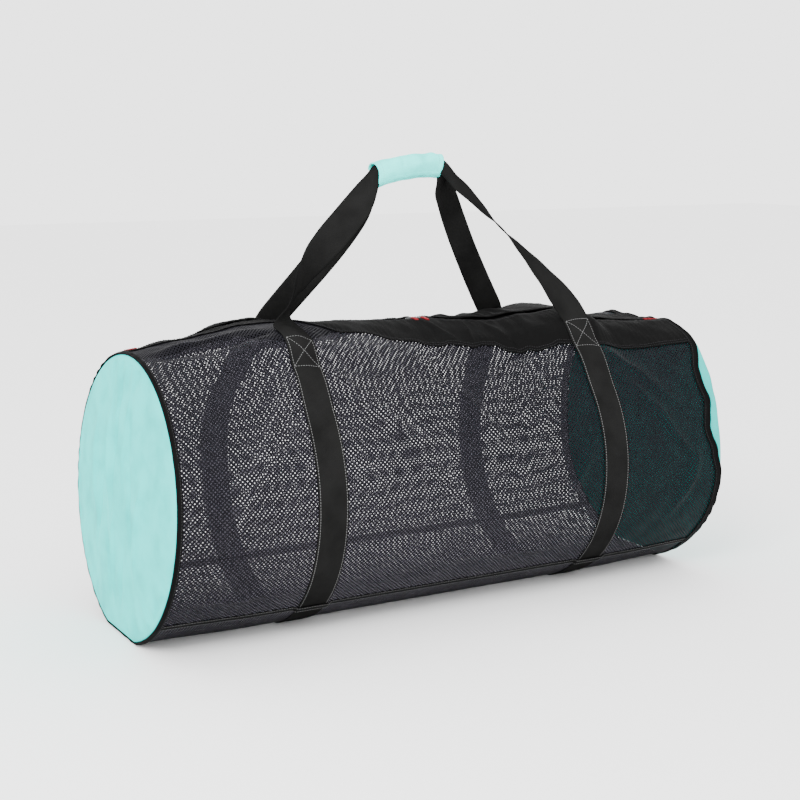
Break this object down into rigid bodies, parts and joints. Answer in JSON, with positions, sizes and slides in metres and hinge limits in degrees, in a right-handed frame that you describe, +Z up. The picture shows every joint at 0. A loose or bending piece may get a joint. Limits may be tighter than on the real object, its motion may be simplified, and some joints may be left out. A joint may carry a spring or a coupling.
{
  "type": "mesh duffel bag",
  "caption": "Long round duffel of open net with solid end panels, a top zip and two webbing handles closed in a soft grip; stands on its flattened base.",
  "frame": {"origin": "floor point below the middle of the bag", "axes": "+X along the bag towards its right end, -Y the front with the nearer straps, +Z up"},
  "size_m": [0.8741, 0.3855, 0.6192],
  "materials": {
    "net": "open warp-knit net, matt",
    "black_cloth": "plain woven, slight sheen",
    "webbing": "flat woven webbing, grey edge stitching",
    "turquoise_cloth": "coated plain weave, soft sheen",
    "zip": "moulded coil and painted sliders",
    "red_cloth": "woven tape"
  },
  "bodies": {
    "root": {"mesh_front": "net", "mesh_back": "net", "base_panel": "net", "base_binding_front": "black_cloth", "base_binding_back": "black_cloth", "end_cap_left": "turquoise_cloth", "end_cap_right": "turquoise_cloth", "end_piping_left": "black_cloth", "end_piping_right": "black_cloth", "end_binding_left": "black_cloth", "end_binding_right": "black_cloth", "zip_placket_front": "black_cloth", "zip_placket_back": "black_cloth", "zip_tape": "black_cloth", "zip_coil": "zip", "zip_slider_left": "zip", "zip_slider_right": "zip", "zip_pull_left": "red_cloth", "zip_pull_right": "red_cloth", "zip_end_tab_left": "red_cloth", "zip_end_tab_right": "red_cloth", "strap_front": "webbing", "strap_back": "webbing", "base_strap_left": "webbing", "base_strap_right": "webbing", "handle_wrap": "turquoise_cloth"}
  },
  "joints": []
}
